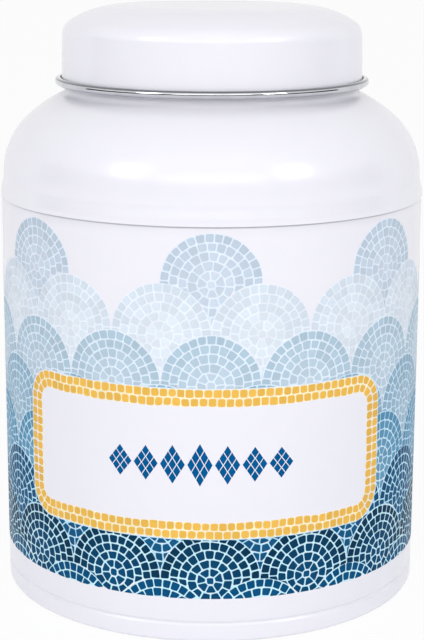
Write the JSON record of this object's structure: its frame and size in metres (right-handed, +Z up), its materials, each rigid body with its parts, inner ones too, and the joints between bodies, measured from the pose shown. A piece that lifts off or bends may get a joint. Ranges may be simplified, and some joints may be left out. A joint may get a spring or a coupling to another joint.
{
  "type": "food canister",
  "caption": "Round tinplate food canister with a domed shoulder, a narrow neck and a slip-on lid with a curled rim.",
  "frame": {"origin": "centre of the foot, on the surface that the canister stands on", "axes": "+Z up along the canister's axis, -Y towards the front panel, side seam at +Y"},
  "size_m": [0.1204, 0.1204, 0.1663],
  "materials": {
    "printed_tinplate": "blue mosaic print under clear varnish on white-coated tinplate",
    "white_lacquer": "baked gloss white lacquer on tinplate, bare metal at the curled edge and inside",
    "bare_tinplate": "bright bare tinplate"
  },
  "bodies": {
    "canister": {"body_wall": "printed_tinplate", "shoulder_dome": "white_lacquer", "base_disc": "bare_tinplate"},
    "lid": {"lid": "white_lacquer"}
  },
  "joints": [
    {"name": "lid_lift", "type": "slide", "parent": "canister", "child": "lid", "axis": [0, 0, 1], "range_m": [0, 0.1]}
  ]
}
